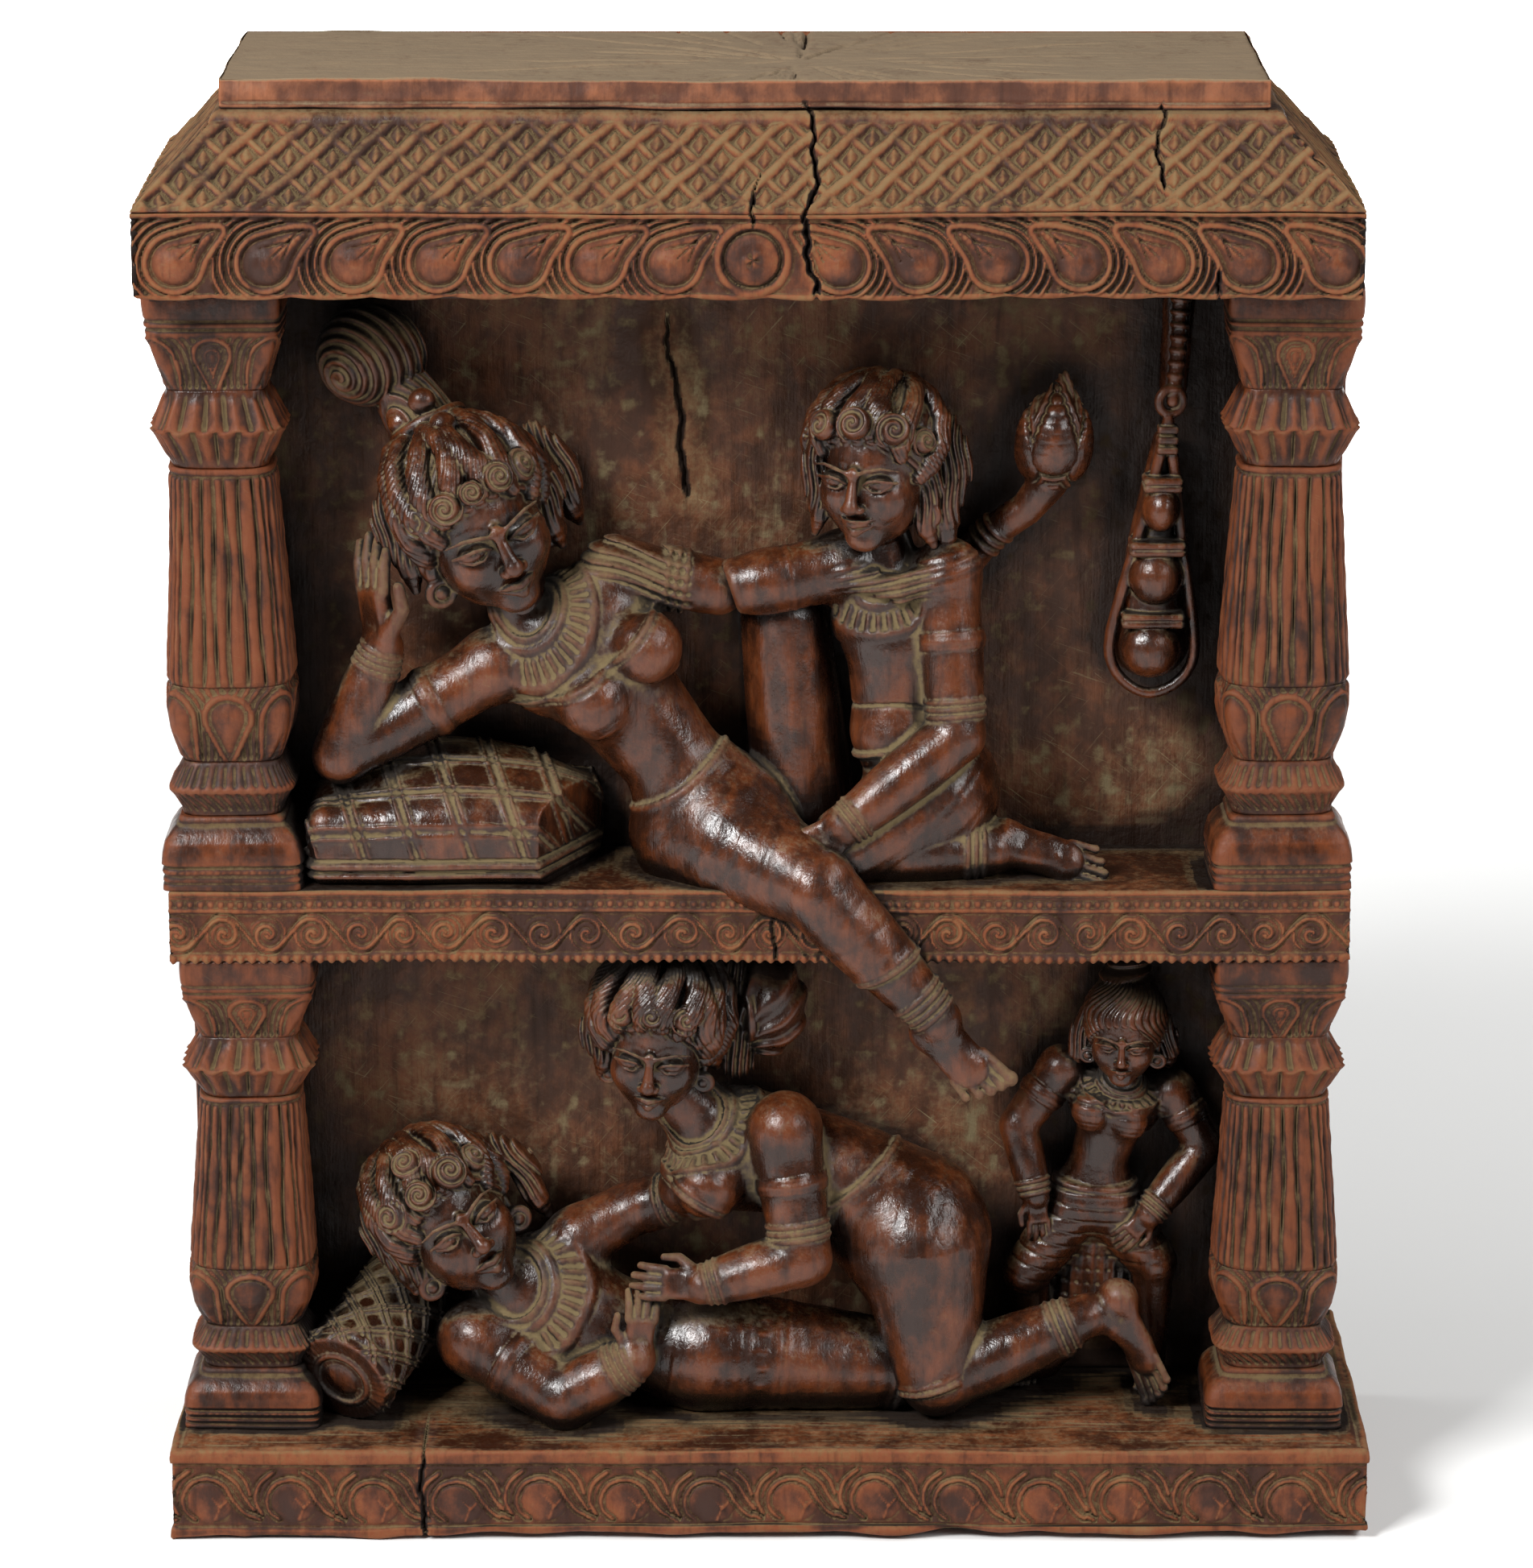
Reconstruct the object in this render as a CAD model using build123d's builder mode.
"""A carved hardwood relief panel: two niches one above the other, framed by four pillars.

Units are millimetres. +Z is up, the carved front faces -Y, and the origin is the centre of the
footprint at the surface that the panel stands on. The real panel is cut from one block, so every
carved element here is its own solid that meets its neighbours face to face.
"""

import math
import os

from build123d import *

os.makedirs("parts", exist_ok=True)

# ---------------------------------------------------------------- driving dimensions
BACK_Y = 95  # flat back of the block
WALL_Y = 12  # face of the niches' back wall
RAIL_FRONT_Y = -68  # front of the middle rail
PILLAR_FRONT_Y = -66  # front of the pillars' widest members
PILLAR_BACK_Y = -12  # where the pillars meet the side walls
FRONT_Y = -95  # front of plinth and cornice

PLINTH_TOP = 46
RAIL_BOTTOM = 283
RAIL_TOP = 318
CORNICE_BOTTOM = 606
CORNICE_TOP = 646
ROOF_TOP = 686
BLOCK_TOP = 700

PLINTH_X = (-286, 288)
RAIL_X = (-282, 274)
PANEL_X = (-277, 270)
CORNICE_X = (-288, 270)
CAP_X = (-250, 229)
CAP_FRONT_Y = -55
SIDE_WALL_THICKNESS = 22

FRIEZE_RECESS = 2.0  # depth of a carved frieze's field behind its lips
PLINTH_LIP = 5
RAIL_LIP = 4
CORNICE_LIP = 4

PILLAR_DEPTH_RATIO = 0.86  # depth over width of every pillar section
PILLAR_CHAMFER_RATIO = 0.2  # corner chamfer over width


# ---------------------------------------------------------------- helpers
def block(x_range, y_range, z_range, mode=Mode.ADD):
    """An axis-aligned box between the given limits."""
    sizes = [high - low for low, high in (x_range, y_range, z_range)]
    centre = [(high + low) / 2 for low, high in (x_range, y_range, z_range)]
    with Locations(tuple(centre)):
        Box(*sizes, mode=mode)


def limb(start, end, start_radius, end_radius):
    """A rounded, tapered limb between two joints: two balls and the cone that touches both."""
    a, b = Vector(*start), Vector(*end)
    along = (b - a).normalized()
    length = (b - a).length
    side = along.cross(Vector(0, 1, 0) if abs(along.Y) < 0.9 else Vector(1, 0, 0)).normalized()
    plane = Plane(origin=a, x_dir=side, z_dir=side.cross(along))
    tilt = math.asin((start_radius - end_radius) / length)

    def on_ball(radius, height, angle):
        return (radius * math.cos(angle), height + radius * math.sin(angle))

    quarter = math.pi / 2
    with BuildSketch(plane) as profile:
        with BuildLine():
            foot = ThreePointArc(
                (0, -start_radius),
                on_ball(start_radius, 0, (tilt - quarter) / 2),
                on_ball(start_radius, 0, tilt),
            )
            top = ThreePointArc(
                on_ball(end_radius, length, tilt),
                on_ball(end_radius, length, (tilt + quarter) / 2),
                (0, length + end_radius),
            )
            Line(foot @ 1, top @ 0)
            Line(top @ 1, foot @ 0)
        make_face()
    revolve(profile.sketch, axis=Axis(a, along))


def ball(centre, radius):
    with Locations(centre):
        Sphere(radius)


def limbs(rows):
    for row in rows:
        limb(*row)


def cut_to_front_of_wall():
    """Takes away what would reach into the back wall."""
    block((-400, 400), (WALL_Y, 200), (-50, 800), mode=Mode.SUBTRACT)


def keep_clear_of(*neighbours):
    for neighbour in neighbours:
        add(neighbour.part, mode=Mode.SUBTRACT)


def save(builder, name):
    builder.part.label = name
    export_step(builder.part, f"parts/{name}.step")
    return builder


# ---------------------------------------------------------------- frame of the panel
with BuildPart() as plinth:
    block(PLINTH_X, (FRONT_Y, BACK_Y), (0, PLINTH_TOP))
    block(PLINTH_X, (FRONT_Y, FRONT_Y + FRIEZE_RECESS), (PLINTH_LIP, PLINTH_TOP - PLINTH_LIP), Mode.SUBTRACT)
save(plinth, "plinth")

with BuildPart() as back_panel:
    block(PANEL_X, (WALL_Y, BACK_Y), (PLINTH_TOP, CORNICE_BOTTOM))
save(back_panel, "back_panel")

with BuildPart() as mid_rail:
    block(RAIL_X, (RAIL_FRONT_Y, WALL_Y), (RAIL_BOTTOM, RAIL_TOP))
    field = (RAIL_BOTTOM + RAIL_LIP, RAIL_TOP - 2 * RAIL_LIP)
    block(RAIL_X, (RAIL_FRONT_Y, RAIL_FRONT_Y + FRIEZE_RECESS), field, Mode.SUBTRACT)
save(mid_rail, "mid_rail")

with BuildPart() as cornice_band:
    block(CORNICE_X, (FRONT_Y, BACK_Y), (CORNICE_BOTTOM, CORNICE_TOP))
    field = (CORNICE_BOTTOM + CORNICE_LIP, CORNICE_TOP - CORNICE_LIP)
    block(CORNICE_X, (FRONT_Y, FRONT_Y + FRIEZE_RECESS), field, Mode.SUBTRACT)
save(cornice_band, "cornice_band")


def footprint(x_range, front_y):
    """A rectangle from front_y to the back face."""
    with Locations(((x_range[0] + x_range[1]) / 2, (front_y + BACK_Y) / 2)):
        Rectangle(x_range[1] - x_range[0], BACK_Y - front_y)


with BuildPart() as lattice_roof:
    with BuildSketch(Plane.XY.offset(CORNICE_TOP)):
        footprint(CORNICE_X, FRONT_Y)
    with BuildSketch(Plane.XY.offset(ROOF_TOP)):
        footprint(CAP_X, CAP_FRONT_Y)
    loft(ruled=True)
save(lattice_roof, "lattice_roof")

with BuildPart() as top_block:
    block(CAP_X, (CAP_FRONT_Y, BACK_Y), (ROOF_TOP, BLOCK_TOP))
save(top_block, "top_block")

storeys = {"lower": (PLINTH_TOP, RAIL_BOTTOM), "upper": (RAIL_TOP, CORNICE_BOTTOM)}
wall_x = {
    "left": (PANEL_X[0], PANEL_X[0] + SIDE_WALL_THICKNESS),
    "right": (PANEL_X[1] - SIDE_WALL_THICKNESS, PANEL_X[1]),
}
side_walls = []
for storey, z_range in storeys.items():
    for side, x_range in wall_x.items():
        with BuildPart() as side_wall:
            block(x_range, (PILLAR_BACK_Y, WALL_Y), z_range)
        side_walls.append(save(side_wall, f"{storey}_{side}_side_wall"))

# ---------------------------------------------------------------- pillars
# Each member lists (height above the storey's floor as a share of the storey, width).
MEMBERS = {
    "foot": [(0.0, 66), (0.045, 66), (0.05, 64), (0.12, 50)],
    "disc": [(0.12, 48), (0.165, 58), (0.21, 48)],
    "cup": [(0.21, 45), (0.27, 57), (0.34, 60)],
    "shaft": [(0.34, 58), (0.70, 44)],
    "collar": [(0.70, 45), (0.765, 61), (0.83, 47)],
    "capital": [(0.83, 47), (0.925, 62), (0.93, 60), (1.0, 63)],
}
PILLAR_CENTRE_X = {
    ("upper", "left"): (-252, -256),  # centre at the storey's floor and at its ceiling
    ("upper", "right"): (242, 242),
    ("lower", "left"): (-249, -247),
    ("lower", "right"): (244, 243),
}
PILLAR_CENTRE_Y = (PILLAR_FRONT_Y + PILLAR_BACK_Y) / 2

for (storey, side), (x_floor, x_ceiling) in PILLAR_CENTRE_X.items():
    floor, ceiling = storeys[storey]
    for member_name, stations in MEMBERS.items():
        with BuildPart() as member:
            for share, width in stations:
                with BuildSketch(Plane.XY.offset(floor + share * (ceiling - floor))) as section:
                    with Locations((x_floor + share * (x_ceiling - x_floor), PILLAR_CENTRE_Y)):
                        Rectangle(width, width * PILLAR_DEPTH_RATIO)
                    chamfer(section.vertices(), length=width * PILLAR_CHAMFER_RATIO)
            loft(ruled=True)
            keep_clear_of(*side_walls)
        save(member, f"{storey}_{side}_{member_name}")

# ---------------------------------------------------------------- bolsters and hanging lamp
with BuildPart() as upper_bolster:
    with BuildSketch(Plane.XY.offset(RAIL_TOP)):
        with BuildLine():
            Polyline((-216, -62), (-110, -62), (-80, -14), (-86, WALL_Y), (-216, WALL_Y), close=True)
        make_face()
    extrude(amount=54, taper=12)
    fillet(upper_bolster.faces().sort_by(Axis.Z)[-1].edges(), radius=10)
    cut_to_front_of_wall()
save(upper_bolster, "upper_bolster")

with BuildPart() as lower_bolster:
    limb((-196, -42, 69), (-178, 0, 92), 22, 24)
    cut_to_front_of_wall()
    keep_clear_of(plinth, back_panel)
save(lower_bolster, "lower_bolster")

LAMP_BACK_Y = WALL_Y
LAMP_FRONT_Y = -14
with BuildPart() as hanging_lamp:
    with BuildSketch(Plane.XZ.offset(-LAMP_BACK_Y)):
        with BuildLine():
            Line((186, 545), (159, 428))
            ThreePointArc((159, 428), (181, 400), (203, 428))
            Line((203, 428), (186, 545))
        make_face()
    extrude(amount=LAMP_BACK_Y - LAMP_FRONT_Y)
    limb((187, -10, 536), (190, 8, 600), 5, 5)
    for height, radius in ((493, 9), (458, 13), (424, 16)):
        ball((182, LAMP_FRONT_Y, height), radius)
    cut_to_front_of_wall()
    block((0, 400), (-95, WALL_Y), (CORNICE_BOTTOM, 640), mode=Mode.SUBTRACT)
save(hanging_lamp, "hanging_lamp")

with BuildPart() as lotus_bud:
    limbs(
        [
            ((100, 4, 466), (118, 0, 486), 6, 8),
            ((118, 0, 486), (132, -4, 512), 12, 15),
            ((132, -4, 512), (136, -2, 546), 15, 7),
        ]
    )
    cut_to_front_of_wall()
save(lotus_bud, "lotus_bud")

# ---------------------------------------------------------------- upper figures
with BuildPart() as reclining_head:
    limbs(
        [
            ((-139, -34, 492), (-128, -38, 468), 31, 20),
            ((-150, -14, 506), (-140, 0, 480), 30, 26),
            ((-186, -14, 565), (-162, -16, 540), 23, 13),
            ((-162, -16, 540), (-150, -20, 516), 13, 24),
        ]
    )
    cut_to_front_of_wall()
save(reclining_head, "reclining_head")

with BuildPart() as reclining_figure:
    limbs(
        [
            ((-120, -22, 442), (-104, -24, 424), 14, 18),
            ((-128, -26, 418), (-74, -22, 462), 19, 15),
            ((-90, -18, 424), (-42, -18, 372), 32, 25),
            ((-42, -18, 372), (-26, -24, 338), 25, 32),
            ((-130, -28, 416), (-202, -40, 376), 13, 12),
            ((-202, -40, 376), (-180, -40, 424), 13, 9),
            ((-180, -40, 424), (-184, -40, 468), 10, 9),
            ((-74, -12, 464), (-22, -16, 452), 13, 10),
            ((4, -2, 352), (8, -4, 436), 20, 19),
            ((-24, -30, 338), (20, -62, 326), 30, 16),
            ((22, -72, 322), (80, -76, 258), 15, 10),
            ((80, -76, 256), (100, -72, 232), 11, 10),
            ((100, -72, 230), (108, -74, 224), 9, 7),
        ]
    )
    cut_to_front_of_wall()
    keep_clear_of(mid_rail, upper_bolster, reclining_head, back_panel)
save(reclining_figure, "reclining_figure")

with BuildPart() as kneeling_head:
    limbs(
        [
            ((52, -30, 522), (49, -34, 496), 25, 18),
            ((58, -8, 522), (72, -6, 492), 24, 18),
        ]
    )
    cut_to_front_of_wall()
    keep_clear_of(reclining_figure)
save(kneeling_head, "kneeling_head")

with BuildPart() as kneeling_figure:
    limbs(
        [
            ((52, -22, 478), (54, -22, 458), 13, 16),
            ((40, -20, 462), (80, -26, 462), 14, 13),
            ((60, -16, 440), (58, -16, 396), 27, 22),
            ((58, -16, 396), (78, -16, 362), 22, 27),
            ((38, -24, 464), (-8, -26, 458), 12, 10),
            ((82, -32, 462), (88, -46, 392), 13, 13),
            ((88, -46, 390), (34, -60, 348), 14, 10),
            ((34, -60, 348), (10, -64, 336), 10, 11),
            ((86, -22, 360), (38, -40, 334), 25, 15),
            ((40, -40, 330), (108, -38, 332), 14, 12),
            ((108, -38, 332), (160, -44, 326), 11, 6),
        ]
    )
    cut_to_front_of_wall()
    keep_clear_of(mid_rail, reclining_figure, kneeling_head, lotus_bud)
save(kneeling_figure, "kneeling_figure")

# ---------------------------------------------------------------- lower figures
with BuildPart() as leaning_head:
    limbs(
        [
            ((-51, -34, 241), (-54, -38, 222), 27, 19),
            ((-40, -8, 240), (-40, -4, 222), 26, 22),
            ((-6, -12, 238), (2, -20, 250), 14, 17),
        ]
    )
    cut_to_front_of_wall()
    keep_clear_of(mid_rail)
save(leaning_head, "leaning_head")

with BuildPart() as leaning_figure:
    limbs(
        [
            ((-42, -22, 204), (-30, -24, 186), 13, 19),
            ((-24, -20, 178), (4, -18, 172), 27, 28),
            ((10, -17, 168), (62, -19, 142), 25, 31),
            ((8, -44, 190), (16, -56, 130), 13, 13),
            ((16, -56, 130), (-36, -60, 117), 13, 10),
            ((-36, -60, 117), (-50, -62, 122), 10, 9),
            ((64, -26, 130), (82, -45, 66), 29, 17),
            ((84, -44, 64), (154, -42, 96), 16, 11),
            ((150, -42, 92), (174, -41, 104), 10, 12),
            ((171, -42, 100), (190, -40, 58), 10, 7),
        ]
    )
    cut_to_front_of_wall()
    keep_clear_of(plinth, leaning_head)
save(leaning_figure, "leaning_figure")

with BuildPart() as lying_head:
    limbs(
        [
            ((-158, -32, 148), (-140, -36, 126), 28, 19),
            ((-166, -10, 150), (-152, -6, 130), 26, 22),
        ]
    )
    cut_to_front_of_wall()
    keep_clear_of(lower_bolster)
save(lying_head, "lying_head")

with BuildPart() as lying_figure:
    limbs(
        [
            ((-132, -24, 112), (-116, -24, 100), 15, 20),
            ((-136, -30, 84), (-94, -20, 122), 20, 18),
            ((-104, -16, 90), (-60, -18, 78), 30, 27),
            ((-60, -18, 78), (-30, -18, 72), 27, 28),
            ((-28, -19, 71), (74, -15, 65), 26, 18),
            ((78, -14, 64), (130, -8, 60), 17, 12),
            ((-140, -38, 78), (-98, -56, 60), 14, 13),
            ((-98, -56, 60), (-62, -62, 78), 13, 9),
            ((-62, -62, 78), (-54, -62, 104), 9, 10),
            ((-94, -12, 128), (-42, -18, 148), 14, 11),
        ]
    )
    cut_to_front_of_wall()
    keep_clear_of(plinth, lower_bolster, lying_head, leaning_figure)
save(lying_figure, "lying_figure")

with BuildPart() as attendant_head:
    limbs(
        [
            ((172, -14, 236), (173, -16, 222), 19, 14),
            ((174, -4, 240), (178, 0, 264), 18, 12),
        ]
    )
    cut_to_front_of_wall()
    keep_clear_of(mid_rail)
save(attendant_head, "attendant_head")

with BuildPart() as attendant_figure:
    limbs(
        [
            ((172, -6, 212), (170, -6, 202), 9, 12),
            ((142, -4, 208), (196, -4, 196), 11, 11),
            ((168, -4, 190), (160, -4, 160), 20, 15),
            ((160, -4, 160), (156, -4, 142), 15, 20),
            ((140, -2, 212), (120, -8, 180), 10, 9),
            ((120, -8, 180), (130, -18, 142), 9, 8),
            ((196, -4, 196), (210, -10, 170), 10, 9),
            ((210, -10, 170), (178, -20, 134), 9, 8),
            ((148, -4, 138), (124, -8, 104), 17, 12),
            ((164, -4, 138), (186, -8, 110), 17, 12),
            ((186, -8, 110), (188, -4, 54), 12, 10),
            ((124, -8, 104), (130, 0, 54), 12, 10),
        ]
    )
    cut_to_front_of_wall()
    keep_clear_of(attendant_head, leaning_figure, lying_figure, plinth)
save(attendant_figure, "attendant_figure")
